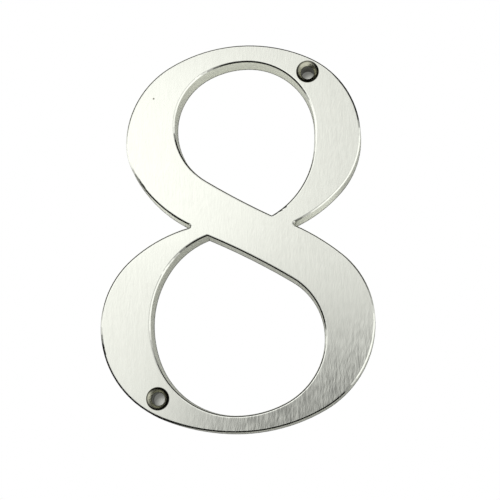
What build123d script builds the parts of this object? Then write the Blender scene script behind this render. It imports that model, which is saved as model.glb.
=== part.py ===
from build123d import *
import os
from collections import namedtuple
from math import cos, radians, sin, sqrt, tan

# A cast house or mailbox number, the figure eight, held to a wall by two countersunk screws.
# Millimetres. X is to the right and Z up, from the middle of the figure. The flat back lies on Y = 0,
# and the face looks along -Y. Directions are in degrees from X, turning towards Z.

# Overall sizes, taken at the face as if its rim were sharp
HEIGHT = 100.0
LOWER_WIDTH = 69.5
UPPER_WIDTH = 60.5
UPPER_SHIFT = 1.4            # middle of the upper bowl, to the right of the lower bowl's middle
THICKNESS = 6.5

# Finish of the casting
DRAFT_ANGLE = 2.0            # by which every wall spreads towards the back
RIM_RADIUS = 0.6             # between the face and the walls
CORNER_RADIUS = 0.1          # in the four corners of the waist, at the back, where they are tightest

# Widths of the strokes at the sides, the crown and the foot of the bowls
UPPER_LEFT_STROKE = 12.6
UPPER_RIGHT_STROKE = 11.7
CROWN_STROKE = 4.6
LOWER_LEFT_STROKE = 12.8
LOWER_RIGHT_STROKE = 12.5
FOOT_STROKE = 4.2

# Heights at which the bowls are widest
UPPER_LEFT_LEVEL = 24.4
UPPER_RIGHT_LEVEL = 25.8
LOWER_LEFT_LEVEL = -23.3
LOWER_RIGHT_LEVEL = -22.0

# Heights at which the counters, the open middles of the bowls, are widest
UPPER_COUNTER_LEFT_LEVEL = 28.8
UPPER_COUNTER_RIGHT_LEVEL = 27.3
LOWER_COUNTER_LEFT_LEVEL = -22.3
LOWER_COUNTER_RIGHT_LEVEL = -25.9

# Crown and foot, to the right of the middle
CROWN_X = 2.4
FOOT_X = -0.4

# The waist: a notch in the outline on each side, and the pointed corner of each counter
WAIST_LEVEL = 2.3            # height of the left notch
LEFT_NOTCH_X = -11.5
RIGHT_NOTCH_X = 14.0
RIGHT_NOTCH_RISE = 0.5       # above the waist's level
UPPER_CORNER_X = 8.8
UPPER_CORNER_RISE = 2.7      # above the waist's level
LOWER_CORNER_X = -7.6
LOWER_CORNER_DROP = 2.5      # below the waist's level

# Every edge is drawn in pairs of tangent arcs, and the share says how much of a pair its first arc takes.
# From a corner of the waist to the widest point of a bowl: the direction that leaves the corner, and share
Run = namedtuple("Run", "direction share")
LEFT_NOTCH_UP = Run(155.5, 0.71)
LEFT_NOTCH_DOWN = Run(194.4, 0.47)
RIGHT_NOTCH_UP = Run(24.1, 0.50)
RIGHT_NOTCH_DOWN = Run(-24.0, 0.42)
UPPER_CORNER_LEFT = Run(154.3, 0.50)
UPPER_CORNER_RIGHT = Run(30.3, 0.80)
LOWER_CORNER_LEFT = Run(200.9, 0.44)
LOWER_CORNER_RIGHT = Run(-23.3, 0.56)

# From the widest point of a bowl to its crown or foot: the share on the side of the heavy diagonal, and
# then on the other
OUTLINE_SHARES = (0.55, 0.64)
COUNTER_SHARES = (0.64, 0.27)

# Countersunk screw holes, seen in these directions from the middles of the counters
UPPER_HOLE_DIRECTION = 46.8
LOWER_HOLE_DIRECTION = 222.6
HOLE_OUTSET = 0.2            # outwards from the middle of the stroke
HOLE_DIAMETER = 3.4          # clears a screw of 3 mm
COUNTERSINK_DIAMETER = 5.8
COUNTERSINK_ANGLE = 90.0

# Places that follow from the sizes
FACE = Plane.XZ.offset(THICKNESS)
INTO_WALL = (0, 1, 0)
BACK_SPREAD = THICKNESS * tan(radians(DRAFT_ANGLE))
UPPER_LEFT_X = UPPER_SHIFT - UPPER_WIDTH / 2
UPPER_RIGHT_X = UPPER_SHIFT + UPPER_WIDTH / 2
LOWER_LEFT_X = -LOWER_WIDTH / 2
LOWER_RIGHT_X = LOWER_WIDTH / 2
LEFT_NOTCH = (LEFT_NOTCH_X, WAIST_LEVEL)
RIGHT_NOTCH = (RIGHT_NOTCH_X, WAIST_LEVEL + RIGHT_NOTCH_RISE)
UPPER_CORNER = (UPPER_CORNER_X, WAIST_LEVEL + UPPER_CORNER_RISE)
LOWER_CORNER = (LOWER_CORNER_X, WAIST_LEVEL - LOWER_CORNER_DROP)


def heading(direction):
    """The unit vector of a direction."""
    return Vector(cos(radians(direction)), sin(radians(direction)))


def arc_pair(start, leaving, end, arriving, share):
    """Two tangent arcs from one point to another, which leave the first and arrive at the second in given
    directions. The share is the first arc's part of the length of the tangents."""
    start, end = Vector(*start), Vector(*end)
    leave, arrive = heading(leaving), heading(arriving)
    chord = end - start
    mean = leave * share + arrive * (1 - share)
    along = chord.dot(mean)
    turn = 1 - mean.dot(mean)
    tangents = (sqrt(along**2 + turn * chord.dot(chord)) - along) / turn
    joint = start + (leave * tangents + chord - mean * tangents) * share
    return [TangentArc(start, joint, tangent=leave), TangentArc(end, joint, tangent=-arrive)]


def bowl_edge(corners, runs, sides, end, shares):
    """The edge of a bowl: on each side from a corner of the waist, past its upright side, to its end."""
    edges = []
    for corner, run, side, share in zip(corners, runs, sides, shares):
        upright = 90 if end[1] > side[1] else -90
        level = 0 if end[0] > side[0] else 180
        edges += arc_pair(corner, run.direction, side, upright, run.share)
        edges += arc_pair(side, upright, end, level, share)
    return edges


def softened(section, corners):
    """A section with the corners of its waist rounded, by more than the draft takes away at the back."""
    sharp = [section.vertices().sort_by_distance(corner)[0] for corner in corners]
    return fillet(sharp, CORNER_RADIUS + BACK_SPREAD)


def outline():
    """The figure's outer edge, at the face."""
    upper_sides = ((UPPER_LEFT_X, UPPER_LEFT_LEVEL), (UPPER_RIGHT_X, UPPER_RIGHT_LEVEL))
    lower_sides = ((LOWER_RIGHT_X, LOWER_RIGHT_LEVEL), (LOWER_LEFT_X, LOWER_LEFT_LEVEL))
    upper = bowl_edge((LEFT_NOTCH, RIGHT_NOTCH), (LEFT_NOTCH_UP, RIGHT_NOTCH_UP), upper_sides,
                      (CROWN_X, HEIGHT / 2), OUTLINE_SHARES)
    lower = bowl_edge((RIGHT_NOTCH, LEFT_NOTCH), (RIGHT_NOTCH_DOWN, LEFT_NOTCH_DOWN), lower_sides,
                      (FOOT_X, -HEIGHT / 2), OUTLINE_SHARES)
    return softened(make_face(upper + lower), (LEFT_NOTCH, RIGHT_NOTCH))


def upper_counter():
    """The open middle of the upper bowl, inside its strokes, at the face."""
    left = (UPPER_LEFT_X + UPPER_LEFT_STROKE, UPPER_COUNTER_LEFT_LEVEL)
    right = (UPPER_RIGHT_X - UPPER_RIGHT_STROKE, UPPER_COUNTER_RIGHT_LEVEL)
    edges = bowl_edge((UPPER_CORNER, UPPER_CORNER), (UPPER_CORNER_LEFT, UPPER_CORNER_RIGHT), (left, right),
                      (CROWN_X, HEIGHT / 2 - CROWN_STROKE), COUNTER_SHARES)
    return softened(make_face(edges), (UPPER_CORNER,))


def lower_counter():
    """The open middle of the lower bowl, inside its strokes, at the face."""
    right = (LOWER_RIGHT_X - LOWER_RIGHT_STROKE, LOWER_COUNTER_RIGHT_LEVEL)
    left = (LOWER_LEFT_X + LOWER_LEFT_STROKE, LOWER_COUNTER_LEFT_LEVEL)
    edges = bowl_edge((LOWER_CORNER, LOWER_CORNER), (LOWER_CORNER_RIGHT, LOWER_CORNER_LEFT), (right, left),
                      (FOOT_X, -HEIGHT / 2 + FOOT_STROKE), COUNTER_SHARES)
    return softened(make_face(edges), (LOWER_CORNER,))


def figure():
    """The figure as it shows on the face, with both counters open."""
    return outline() - upper_counter() - lower_counter()


def casting():
    """The figure carried to the back, with its walls drafted and the rim of its face rounded all round."""
    straight = extrude(FACE * figure(), THICKNESS, dir=INTO_WALL)
    walls = straight.faces().filter_by(GeomType.CYLINDER)
    blank = draft(walls, FACE, DRAFT_ANGLE)
    return fillet(blank.faces().sort_by(Axis.Y)[0].edges(), RIM_RADIUS)


def hole_place(counter, direction):
    """Where a hole goes on the face: on the stroke that lies in a direction from a counter's middle."""
    middle = counter.bounding_box().center()
    sight = Line(middle, middle + heading(direction) * HEIGHT)
    across = sight & figure()
    return across @ 0.5 + heading(direction) * HOLE_OUTSET


def screw_holes():
    """The two countersunk holes, as solids to cut away."""
    places = [
        hole_place(upper_counter(), UPPER_HOLE_DIRECTION),
        hole_place(lower_counter(), LOWER_HOLE_DIRECTION),
    ]
    hole = CounterSinkHole(HOLE_DIAMETER / 2, COUNTERSINK_DIAMETER / 2, THICKNESS, COUNTERSINK_ANGLE)
    return [FACE * Pos(*place) * hole for place in places]


os.makedirs("parts", exist_ok=True)
numeral = casting() - screw_holes()
export_step(numeral, "parts/numeral_eight.step")
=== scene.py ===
from collections import namedtuple
from math import cos, pi, sin

import bpy
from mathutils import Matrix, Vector


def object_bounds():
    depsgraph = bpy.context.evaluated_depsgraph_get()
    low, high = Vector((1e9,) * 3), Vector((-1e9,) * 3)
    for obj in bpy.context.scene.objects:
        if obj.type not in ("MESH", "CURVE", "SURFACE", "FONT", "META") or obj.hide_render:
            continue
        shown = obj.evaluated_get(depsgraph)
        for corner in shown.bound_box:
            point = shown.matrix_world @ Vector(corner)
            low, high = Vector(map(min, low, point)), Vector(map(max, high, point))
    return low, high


# A cast figure eight in satin nickel: brushed face, satin walls, on white. Metres, in the part's own frame.
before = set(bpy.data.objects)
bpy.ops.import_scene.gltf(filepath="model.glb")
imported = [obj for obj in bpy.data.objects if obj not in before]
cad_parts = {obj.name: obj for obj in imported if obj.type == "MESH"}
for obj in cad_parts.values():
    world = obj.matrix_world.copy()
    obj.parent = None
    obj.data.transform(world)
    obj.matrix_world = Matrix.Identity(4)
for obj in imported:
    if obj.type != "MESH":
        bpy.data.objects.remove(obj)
bpy.context.view_layer.update()
cad_box = [list(corner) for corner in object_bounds()]
NODE = "numeral_eight"
MM = 0.001
WHITE = (1.0, 1.0, 1.0, 1.0)

# Camera, a little to the right of the figure and below it, as in the photograph
CAMERA_PLACE = Vector((25.7, -365.9, -59.3)) * MM
CAMERA_AIM = Vector((2.87, 0.0, -2.92)) * MM
LENS = 103.23
SENSOR = 36.0
CLIP_START = 0.01

# The casting: its face, the start of its rounded rim, the most by which its walls look along Y, and its two
# screw holes
FACE_LEVEL = cad_box[0][1]
RIM_LEVEL = FACE_LEVEL + 0.6 * MM
WALL_TILT = 0.1
HOLES = (Vector((18.16, 0.0, 42.59)) * MM, Vector((-19.95, 0.0, -41.50)) * MM)
COUNTERSINK_RADIUS = 2.9 * MM
BORE_RADIUS = 1.7 * MM

# Where a value is carried from one range to another: the ends of the first, then those of the second
Ramp = namedtuple("Ramp", "low high to_low to_high", defaults=(0.0, 1.0))

# Satin nickel. The face and the back are told from the walls by how far they look along -Y
NICKEL = (0.69, 0.70, 0.64, 1.0)
FACE = Ramp(0.93, 0.995)
BACK = Ramp(-0.90, -0.99)
ANISOTROPY = 0.5
BUMP_STRENGTH = 0.4
BUMP_DEPTH = 0.015 * MM

# Brushing of the face, in grains per metre along each axis, and its sideways slants. It is deepest at the
# lower right
STROKES = (5000.0, 5000.0, 200.0)
STROKE_SLANTS = (0.10, -0.07)
SCRATCHES = (8000.0, 8000.0, 420.0)
SCRATCH_SLANT = -0.27
LOWER_RIGHT = Vector((0.50, 0.0, -0.866))
BRUSHED_DEPTH = Ramp(30.0 * MM, 47.0 * MM, 0.13, 1.0)
BRUSHED_TONE = Ramp(0.37, 0.63, 0.50, 1.34)
BRUSHED_ROUGHNESS = Ramp(0.3, 0.7, 0.18, 0.22)

# Cast grain of the back and the walls, and lines along the walls
GRAIN = (2600.0, 2600.0, 2600.0)
WALL_LINES = (120.0, 2200.0, 120.0)
GRAIN_IN_LINES = 0.3
CAST_TONE = Ramp(0.3, 0.7, 0.86, 1.0)
CAST_ROUGHNESS = Ramp(0.3, 0.7, 0.12, 0.17)

# Turned holes: rings, a painted shade round the edge, its middle moved towards painted shines above the one
# hole and left of the other, and painted shade in the bore
HOLE_NICKEL = (0.66, 0.66, 0.52, 1.0)
HOLE_EDGE = Ramp(1.04 * COUNTERSINK_RADIUS, 0.98 * COUNTERSINK_RADIUS)
PAINTED_HOLE_SHINES = (Vector((-0.05, 0.0, 0.33)) * MM, Vector((-0.33, 0.0, 0.05)) * MM)
PAINTED_EDGE_SHADE = Ramp(0.72 * COUNTERSINK_RADIUS, 0.90 * COUNTERSINK_RADIUS, 1.0, 0.01)
PAINTED_BORE_SHADE = Ramp(BORE_RADIUS, 1.1 * BORE_RADIUS, 0.14, 1.0)
RINGS = (6000.0, 0.0, 0.0)
RING_TONE = Ramp(0.3, 0.7, 0.8, 1.0)
HOLE_ROUGHNESS = 0.24

# The one dark speck on the face, with a ragged edge
SPECK = Vector((-21.77 * MM, FACE_LEVEL, 35.99 * MM))
SPECK_RADIUS = 0.3 * MM
SPECK_EDGE = Ramp(SPECK_RADIUS, 0.6 * SPECK_RADIUS)
SPECK_RAGGEDNESS = 0.5 * SPECK_RADIUS
SPECK_COLOUR = (0.16, 0.15, 0.12, 1.0)

# The studio: two soft lamps, each with its place, width, height and power
Lamp = namedtuple("Lamp", "place size power")
LAMPS = {
    "softbox": Lamp(Vector((-0.241, -0.735, 0.202)), (0.454, 0.163), 0.142),
    "low_softbox": Lamp(Vector((-0.228, -0.766, 0.041)), (0.314, 0.189), 0.068),
}
WORLD_LIGHT = 0.95

# Cards that only reflections show, which fade out within their soft edges
Card = namedtuple("Card", "place facing size soft brightness")
CARDS = {
    "front_flag": Card(
        Vector((0.041, -0.25, -0.061)), Vector((0.0, 1.0, 0.0)), (0.206, 0.182), (0.044, 0.08), 0.39),
    "left_card": Card(
        Vector((-0.78, -0.05, 0.04)), Vector((0.98, 0.05, -0.05)), (1.10, 0.96), (0.1, 0.1), 0.40),
    "high_card": Card(
        Vector((-0.08, -0.15, 0.79)), Vector((0.10, 0.05, -0.99)), (0.72, 1.30), (0.1, 0.1), 0.45),
    "back_card": Card(
        Vector((0.0, 0.62, -0.16)), Vector((0.0, -0.98, 0.2)), (1.90, 0.90), (0.30, 0.45), 0.38),
    "right_card": Card(
        Vector((0.70, -0.08, -0.34)), Vector((-0.9, 0.1, 0.44)), (0.80, 0.60), (0.2, 0.2), 1.15),
}

# A thin strip beside the figure's rim. It is bright, apart from zones beside the edges that look in these
# directions, each with the cosines between which it fades in. It is grey behind the split beside high
# edges, dark beside right edges, more so higher up, and dark beside low edges, in a wider range lower down
Zone = namedtuple("Zone", "direction none full")
EDGE_REACH = 0.4 * MM
EDGE_BACK = RIM_LEVEL + 0.1 * MM
EDGE_FRONT = FACE_LEVEL - 1.6 * MM
EDGE_BRIGHT, EDGE_GREY, EDGE_DARK = 1.6, 0.08, 0.01
EDGE_SPLIT = Ramp(FACE_LEVEL - 0.9 * MM, FACE_LEVEL - 0.6 * MM, EDGE_BRIGHT, EDGE_GREY)
HIGH_EDGES = Zone(Vector((-0.09, 0.0, 1.0)), 0.0, 0.42)
RIGHT_EDGES = Zone(Vector((0.906, 0.0, 0.423)), 0.90, 0.98)
RIGHT_FADING = Ramp(-15.0 * MM, 10.0 * MM, 0.5, 1.0)
LOW_EDGES = Zone(Vector((-0.31, 0.0, -0.95)), 0.48, 0.76)
LOW_WIDENING = Ramp(-12.0 * MM, 10.0 * MM, 0.25, -0.08)

# A painted contact shadow: a dark line on the wall, along the foot of the figure
FOOT_WIDTH = 0.3 * MM
FOOT_LEVEL = -0.25 * MM
FOOT_SHADOW = 0.03

# The wall behind the figure. Its places have X to the right and Y up. It has painted shade below, painted
# shadows outwards in the directions of the shades, and painted light round the middles of the lights
WALL_Y = -0.2 * MM
WALL_SIZE = 0.8
WALL_COLOUR = (0.90, 0.91, 0.84, 1.0)
WALL_GLOW = 0.12
WALL_SHADE_BELOW = Ramp(28.0 * MM, 42.0 * MM, 0.66, 1.0)
WALL_SHADES = (
    (Vector((0.0, -1.0, 0.0)), Ramp(36.0 * MM, 42.0 * MM, 1.0, 0.80)),
    (Vector((0.6, 0.8, 0.0)), Ramp(42.0 * MM, 46.0 * MM, 1.0, 0.20)),
    (Vector((-0.75, -0.66, 0.0)), Ramp(41.0 * MM, 45.0 * MM, 1.0, 0.10)),
)
WALL_LIGHTS = (
    (Vector((20.0, 2.0, 0.0)) * MM, Ramp(6.0 * MM, 15.0 * MM, 1.7, 1.0)),
    (Vector((-18.0, 5.0, 0.0)) * MM, Ramp(5.0 * MM, 11.0 * MM, 1.8, 1.0)),
)

# The wall as it shows through the holes, with painted shade that is lightest a little to the lower right of
# their middles
HOLE_GLOW = 0.43
HOLE_LIGHT = Vector((0.7, -0.9, 0.0)) * MM
HOLE_SHADE = Ramp(0.2 * BORE_RADIUS, 1.4 * BORE_RADIUS, 1.0, 0.35)

# The floor, a disc that fades into the white
FLOOR_LEVEL = -0.16
FLOOR_RADIUS = 0.45
FLOOR_FADE = Ramp(0.45 * FLOOR_RADIUS, FLOOR_RADIUS)
FLOOR_COLOUR = (0.92, 0.92, 0.92, 1.0)
FLOOR_CORNERS = 96


class Graph:
    """A node tree that is written as nested calls: each call adds one node and gives its output."""

    def __init__(self, tree):
        self.tree = tree
        tree.nodes.clear()

    def node(self, kind, inputs=(), **settings):
        """A new node with its settings, and with its inputs, by name or number, linked or set."""
        made = self.tree.nodes.new(kind)
        for name, value in settings.items():
            setattr(made, name, value)
        for name, value in dict(inputs).items():
            if isinstance(value, bpy.types.NodeSocket):
                self.tree.links.new(value, made.inputs[name])
            else:
                made.inputs[name].default_value = value
        return made

    def math(self, operation, first, second=0.0):
        return self.node("ShaderNodeMath", {0: first, 1: second}, operation=operation).outputs[0]

    def vector(self, operation, first, second, output=0):
        made = self.node("ShaderNodeVectorMath", {0: first, 1: second}, operation=operation)
        return made.outputs[output]

    def along(self, place, direction):
        """How far a place lies in a direction."""
        return self.vector("DOT_PRODUCT", place, direction, "Value")

    def nearest(self, place, points):
        """The distance from a place to the nearer of two points."""
        return self.math("MINIMUM", *(self.vector("DISTANCE", place, point, "Value") for point in points))

    def part(self, vector, axis):
        """One part of a vector, by the number of its axis."""
        return self.node("ShaderNodeSeparateXYZ", {0: vector}).outputs[axis]

    def ramp(self, value, low, high, to_low=0.0, to_high=1.0):
        """The value carried smoothly from one range to another, and held at the ends."""
        inputs = {"Value": value, "From Min": low, "From Max": high, "To Min": to_low, "To Max": to_high}
        return self.node("ShaderNodeMapRange", inputs, interpolation_type="SMOOTHSTEP").outputs[0]

    def noise(self, vector, stretch, detail=2.0):
        """Noise from 0 to 1 over a stretched space; the stretch is the grains per metre along each axis."""
        inputs = {"Vector": self.vector("MULTIPLY", vector, stretch), "Scale": 1.0, "Detail": detail}
        return self.node("ShaderNodeTexNoise", inputs).outputs[0]

    def slanted(self, place, slope):
        """A place carried sideways by a share of its height."""
        sideways = self.math("MULTIPLY", self.part(place, 2), slope)
        return self.vector("ADD", place, self.node("ShaderNodeCombineXYZ", {0: sideways}).outputs[0])

    def mix(self, factor, first, second):
        """Two numbers mixed."""
        return self.node("ShaderNodeMix", {0: factor, 2: first, 3: second}, data_type="FLOAT").outputs[0]

    def mix_colour(self, factor, first, second):
        """Two colours mixed."""
        return self.node("ShaderNodeMix", {0: factor, 6: first, 7: second}, data_type="RGBA").outputs[2]

    def shade(self, colour, level):
        """A colour times a level."""
        grey = self.node("ShaderNodeCombineColor", {0: level, 1: level, 2: level}).outputs[0]
        inputs = {0: 1.0, 6: colour, 7: grey}
        return self.node("ShaderNodeMix", inputs, data_type="RGBA", blend_type="MULTIPLY").outputs[2]

    def diffuse(self, colour):
        return self.node("ShaderNodeBsdfDiffuse", {"Color": colour}).outputs[0]

    def emission(self, colour, strength):
        return self.node("ShaderNodeEmission", {"Color": colour, "Strength": strength}).outputs[0]

    def mix_shader(self, factor, first, second):
        return self.node("ShaderNodeMixShader", {0: factor, 1: first, 2: second}).outputs[0]

    def shown_where(self, factor, shader):
        """A shader where the factor is 1, and nothing where it is 0."""
        return self.mix_shader(factor, self.node("ShaderNodeBsdfTransparent").outputs[0], shader)

    def add_shader(self, first, second):
        return self.node("ShaderNodeAddShader", {0: first, 1: second}).outputs[0]

    def surface(self, shader):
        self.node("ShaderNodeOutputMaterial", {0: shader})


def new_material(name):
    """A material with an empty node tree."""
    material = bpy.data.materials.new(name)
    material.use_nodes = True
    return material, Graph(material.node_tree)


def satin_nickel():
    """Satin nickel plating: streaks brushed up and down the face, cast grain on the walls, turned holes
    with painted shade and painted shines.
    """
    material, graph = new_material("satin_nickel")
    where = graph.node("ShaderNodeTexCoord").outputs
    place = where["Object"]
    outwards = graph.math("MULTIPLY", graph.part(where["Normal"], 1), -1.0)
    face = graph.ramp(outwards, *FACE)
    back = graph.ramp(outwards, *BACK)

    strokes = [graph.noise(graph.slanted(place, slant), STROKES) for slant in STROKE_SLANTS]
    scratches = graph.noise(graph.slanted(place, SCRATCH_SLANT), SCRATCHES, detail=1.0)
    streaks = graph.mix(0.5, graph.mix(0.5, *strokes), scratches)
    depth = graph.ramp(graph.along(place, LOWER_RIGHT), *BRUSHED_DEPTH)
    grain = graph.noise(place, GRAIN, detail=3.0)
    lines = graph.mix(GRAIN_IN_LINES, graph.noise(place, WALL_LINES), grain)
    cast = graph.mix(back, lines, grain)

    flat = graph.vector("MULTIPLY", place, (1.0, 0.0, 1.0))
    reach = graph.nearest(flat, HOLES)
    hole = graph.mix(back, graph.ramp(reach, *HOLE_EDGE), 0.0)
    rings = graph.noise(graph.node("ShaderNodeCombineXYZ", {0: reach}).outputs[0], RINGS)
    # Painted shade round the holes' edges, moved off centre by painted shines, and painted shade in the
    # bores
    from_painted_shine = graph.nearest(flat, [middle + shine for middle, shine in zip(HOLES, PAINTED_HOLE_SHINES)])
    painted_hole_shade = graph.math("MULTIPLY", graph.ramp(from_painted_shine, *PAINTED_EDGE_SHADE), graph.ramp(reach, *PAINTED_BORE_SHADE))

    ragged = graph.math("MULTIPLY", graph.math("SUBTRACT", grain, 0.5), SPECK_RAGGEDNESS)
    speck_reach = graph.math("ADD", graph.vector("DISTANCE", place, SPECK, "Value"), ragged)
    speck = graph.ramp(speck_reach, *SPECK_EDGE)

    brushed_tone = graph.mix(depth, 1.0, graph.ramp(streaks, *BRUSHED_TONE))
    turned_tone_and_shade = graph.math("MULTIPLY", graph.ramp(rings, *RING_TONE), painted_hole_shade)
    tone = graph.mix(hole, graph.mix(face, graph.ramp(cast, *CAST_TONE), brushed_tone), turned_tone_and_shade)
    plating = graph.mix_colour(hole, NICKEL, HOLE_NICKEL)
    colour = graph.mix_colour(speck, graph.shade(plating, tone), SPECK_COLOUR)

    satin = graph.mix(face, graph.ramp(grain, *CAST_ROUGHNESS), graph.ramp(streaks, *BRUSHED_ROUGHNESS))
    roughness = graph.mix(hole, satin, HOLE_ROUGHNESS)
    height = graph.mix(hole, graph.mix(face, cast, graph.math("MULTIPLY", streaks, depth)), rings)
    relief = {"Strength": BUMP_STRENGTH, "Distance": BUMP_DEPTH, "Height": height}
    bump = graph.node("ShaderNodeBump", relief).outputs[0]
    tangent = graph.node("ShaderNodeTangent", direction_type="RADIAL", axis="Z").outputs[0]

    inputs = {"Base Color": colour, "Metallic": 1.0, "Roughness": roughness, "Anisotropic": ANISOTROPY,
              "Normal": bump, "Tangent": tangent}
    graph.surface(graph.node("ShaderNodeBsdfPrincipled", inputs).outputs[0])
    return material


def glow(name, brightness, size=None, soft=None):
    """A material that glows evenly, for what the metal reflects. A soft one fades out at a card's edges."""
    material, graph = new_material(name)
    shader = graph.emission(WHITE, brightness)
    if soft:
        place = graph.node("ShaderNodeTexCoord").outputs["Object"]
        cover = 1.0
        for axis in range(2):
            half = size[axis] / 2
            inside = graph.ramp(graph.math("ABSOLUTE", graph.part(place, axis)), half, half - soft[axis])
            cover = graph.math("MULTIPLY", inside, cover)
        shader = graph.shown_where(cover, shader)
    graph.surface(shader)
    return material


def stage_mesh(name, corners, faces, material):
    """A mesh on the stage, which is no part of the object."""
    mesh = bpy.data.meshes.new(name)
    mesh.from_pydata(corners, [], faces)
    mesh.materials.append(material)
    made = bpy.data.objects.new(name, mesh)
    bpy.context.collection.objects.link(made)
    return made


def sheet(name, outline, material):
    """A flat sheet with an outline in its own plane."""
    return stage_mesh(name, [(x, y, 0.0) for x, y in outline], [range(len(outline))], material)


def rectangle(width, height):
    """The corners of a rectangle round the middle."""
    x, y = width / 2, height / 2
    return [(-x, -y), (x, -y), (x, y), (-x, y)]


def only_reflected(made):
    """Leaves a piece of the stage to reflections alone."""
    made.visible_camera = False
    made.visible_diffuse = False
    made.visible_shadow = False


def card(name, place, facing, size, soft, brightness):
    """A card outside the picture, with soft edges, that only reflections show."""
    made = sheet(name, rectangle(*size), glow(name, brightness, size, soft))
    made.location = place
    made.rotation_euler = facing.to_track_quat("Z", "Y").to_euler()
    only_reflected(made)


def strip(name, figure, material, back, front):
    """A strip along the figure's walls that only reflections show. It runs between two places beside them,
    for the back and the front of the wall, each with its reach outwards and its depth."""
    corners, faces = [], []
    for polygon in figure.polygons:
        upright = abs(polygon.normal.y) < WALL_TILT
        in_hole = any((polygon.center - hole).xz.length < COUNTERSINK_RADIUS for hole in HOLES)
        if upright and not in_hole:
            faces.append(range(len(corners), len(corners) + len(polygon.vertices)))
            for index in polygon.vertices:
                point = figure.vertices[index].co
                share = point.y / RIM_LEVEL
                reach, depth = (low + (high - low) * share for low, high in zip(back, front))
                corner = point + polygon.normal * reach
                corner.y = depth
                corners.append(corner)
    only_reflected(stage_mesh(name, corners, faces, material))


def edge_glow():
    """The edge strip's material. It shows from the figure's side alone."""
    material, graph = new_material("edge_strip")
    geometry = graph.node("ShaderNodeNewGeometry").outputs
    # The strip is seen from behind, where its normal is turned inwards
    outwards = graph.vector("MULTIPLY", geometry["True Normal"], (-1.0, -1.0, -1.0))
    depth, height = (graph.part(geometry["Position"], axis) for axis in (1, 2))

    def inside(zone, widening=0.0):
        """How far the edge beside the strip lies in a zone, from 0 to 1."""
        cosine = graph.along(outwards, zone.direction)
        return graph.ramp(graph.math("ADD", cosine, widening), zone.none, zone.full)

    level = graph.mix(inside(HIGH_EDGES), EDGE_BRIGHT, graph.ramp(depth, *EDGE_SPLIT))
    right = graph.math("MULTIPLY", inside(RIGHT_EDGES), graph.ramp(height, *RIGHT_FADING))
    low = inside(LOW_EDGES, graph.ramp(height, *LOW_WIDENING))
    level = graph.mix(graph.math("MAXIMUM", right, low), level, EDGE_DARK)
    graph.surface(graph.shown_where(geometry["Backfacing"], graph.emission(WHITE, level)))
    return material


def wall():
    """The pale wall that the figure is fixed to. It shows in the metal and through the holes alone."""
    material, graph = new_material("wall")
    place = graph.node("ShaderNodeTexCoord").outputs["Object"]
    # Painted shade below and in the shades, and painted light round the lights
    level = graph.ramp(graph.part(place, 1), *WALL_SHADE_BELOW)
    for direction, shade in WALL_SHADES:
        level = graph.math("MULTIPLY", level, graph.ramp(graph.along(place, direction), *shade))
    for middle, light in WALL_LIGHTS:
        reach = graph.vector("DISTANCE", place, middle, "Value")
        level = graph.math("MULTIPLY", level, graph.ramp(reach, *light))
    colour = graph.shade(WALL_COLOUR, level)
    open_wall = graph.add_shader(graph.diffuse(colour), graph.emission(colour, WALL_GLOW))

    middles = [Vector((hole.x, hole.z, 0.0)) for hole in HOLES]
    # Painted shade on the wall where it shows through the holes
    from_light = graph.nearest(place, [middle + HOLE_LIGHT for middle in middles])
    hole_colour = graph.shade(WALL_COLOUR, graph.ramp(from_light, *HOLE_SHADE))
    hole_wall = graph.add_shader(graph.diffuse(hole_colour), graph.emission(hole_colour, HOLE_GLOW))

    in_hole = graph.math("LESS_THAN", graph.nearest(place, middles), BORE_RADIUS)
    from_front = graph.math("SUBTRACT", 1.0, graph.node("ShaderNodeNewGeometry").outputs["Backfacing"])
    through_hole = graph.math("MULTIPLY", in_hole, from_front)
    reflected = graph.node("ShaderNodeLightPath").outputs["Is Glossy Ray"]
    shown = graph.math("MAXIMUM", through_hole, reflected)
    graph.surface(graph.shown_where(shown, graph.mix_shader(in_hole, open_wall, hole_wall)))

    made = sheet("wall", rectangle(WALL_SIZE, WALL_SIZE), material)
    made.location.y = WALL_Y
    made.rotation_euler = Vector((0.0, -1.0, 0.0)).to_track_quat("Z", "Y").to_euler()
    only_reflected(made)
    # The camera sees it through the holes
    made.visible_camera = True


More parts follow.
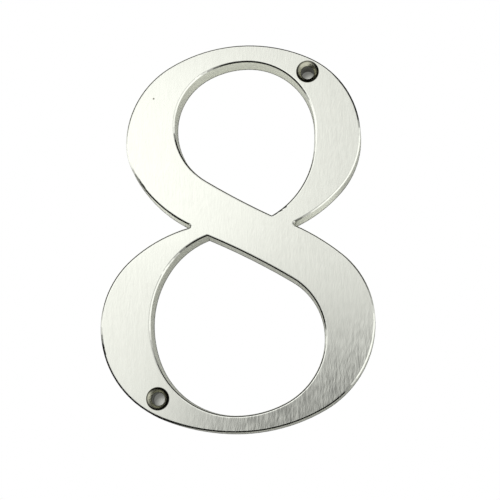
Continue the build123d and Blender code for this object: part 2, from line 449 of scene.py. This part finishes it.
def floor():
    """A pale floor under the figure that keeps its shadow and fades into the white at its edge."""
    material, graph = new_material("floor")
    place = graph.node("ShaderNodeTexCoord").outputs["Object"]
    fade = graph.ramp(graph.vector("DISTANCE", place, (0.0, 0.0, 0.0), "Value"), *FLOOR_FADE)
    graph.surface(graph.mix_shader(fade, graph.diffuse(FLOOR_COLOUR), graph.emission(WHITE, 1.0)))
    turns = [2 * pi * corner / FLOOR_CORNERS for corner in range(FLOOR_CORNERS)]
    outline = [(FLOOR_RADIUS * cos(turn), FLOOR_RADIUS * sin(turn)) for turn in turns]
    made = sheet("floor", outline, material)
    made.location.z = FLOOR_LEVEL
    made.visible_glossy = False


def lamp(name, place, size, power):
    """A soft lamp that shines at the figure."""
    data = bpy.data.lights.new(name, "AREA")
    data.shape = "RECTANGLE"
    data.size, data.size_y = size
    data.energy = power
    made = bpy.data.objects.new(name, data)
    made.location = place
    made.rotation_euler = (-place).to_track_quat("-Z", "Y").to_euler()
    bpy.context.collection.objects.link(made)


def white_world():
    """White all round for what the camera and reflections see, and a plain level of light for the rest."""
    world = bpy.data.worlds.new("white")
    bpy.context.scene.world = world
    world.use_nodes = True
    graph = Graph(world.node_tree)
    path = graph.node("ShaderNodeLightPath").outputs
    seen = graph.math("MAXIMUM", path["Is Camera Ray"], path["Is Glossy Ray"])
    seen = graph.math("MAXIMUM", seen, path["Is Transmission Ray"])
    strength = graph.mix(seen, WORLD_LIGHT, 1.0)
    background = graph.node("ShaderNodeBackground", {"Color": WHITE, "Strength": strength}).outputs[0]
    graph.node("ShaderNodeOutputWorld", {0: background})


def photo_camera():
    """The camera at the photograph's viewing angle."""
    data = bpy.data.cameras.new("camera")
    data.lens = LENS
    data.sensor_width = SENSOR
    data.clip_start = CLIP_START
    made = bpy.data.objects.new("camera", data)
    made.location = CAMERA_PLACE
    made.rotation_euler = (CAMERA_AIM - CAMERA_PLACE).to_track_quat("-Z", "Y").to_euler()
    bpy.context.collection.objects.link(made)
    bpy.context.scene.camera = made


bpy.context.scene.view_settings.view_transform = "Standard"
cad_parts[NODE].material_slots[0].material = satin_nickel()
photo_camera()
white_world()
floor()
wall()
for name, settings in LAMPS.items():
    lamp(name, *settings)
for name, settings in CARDS.items():
    card(name, *settings)
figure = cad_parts[NODE].data
strip("edge_strip", figure, edge_glow(), (EDGE_REACH, EDGE_BACK), (EDGE_REACH, EDGE_FRONT))
# A painted contact shadow along the foot of the figure, seen in reflections
strip("painted_foot_shadow", figure, glow("painted_foot_shadow", FOOT_SHADOW), (0.0, FOOT_LEVEL), (FOOT_WIDTH, FOOT_LEVEL))
